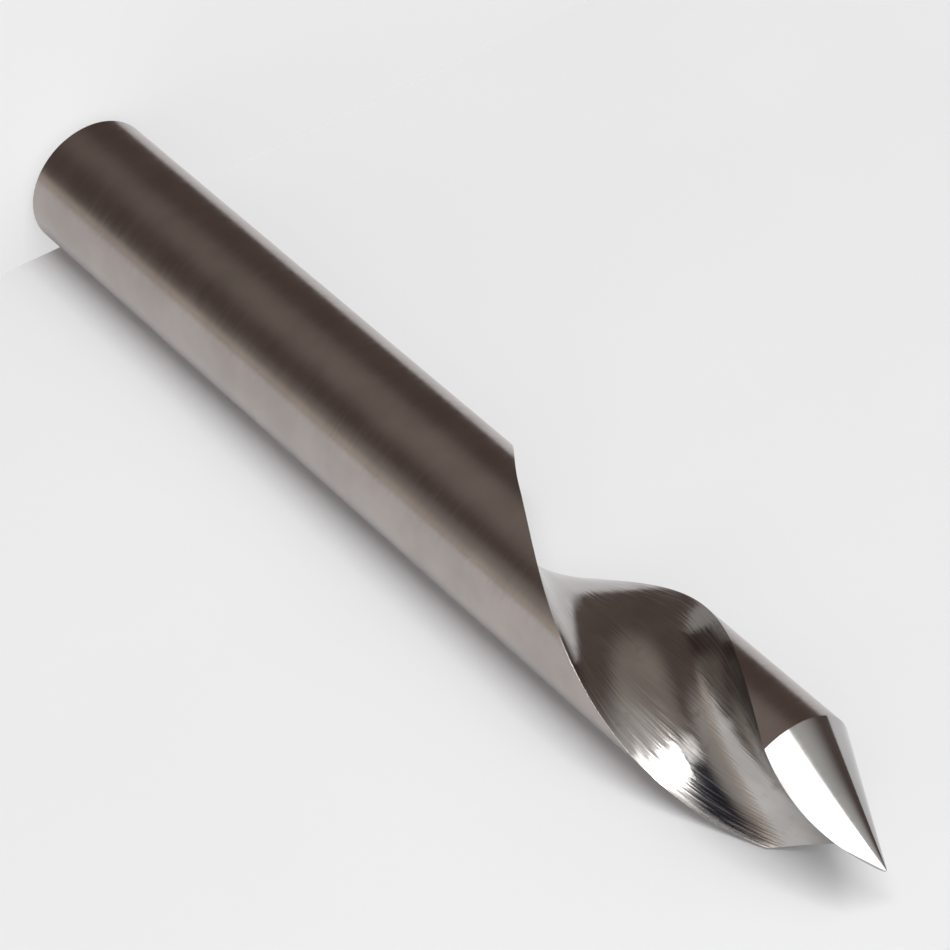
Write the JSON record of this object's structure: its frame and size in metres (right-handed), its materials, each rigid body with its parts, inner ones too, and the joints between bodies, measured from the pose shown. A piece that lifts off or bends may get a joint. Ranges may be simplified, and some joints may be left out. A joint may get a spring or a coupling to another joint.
{
  "type": "carbide drill bit",
  "caption": "Solid carbide drill bit with a straight round shank, a helical flute and a sharp conical point, standing on its shank end.",
  "frame": {"origin": "centre of the flat shank end, on the tool's axis", "axes": "+Z along the axis from the shank end to the point, so the bit stands on its end; -Y is the side that the picture shows"},
  "size_m": [0.006, 0.006, 0.05],
  "materials": {
    "ground_carbide": "ground and polished"
  },
  "bodies": {
    "root": {"drill_bit": "ground_carbide"}
  },
  "joints": []
}
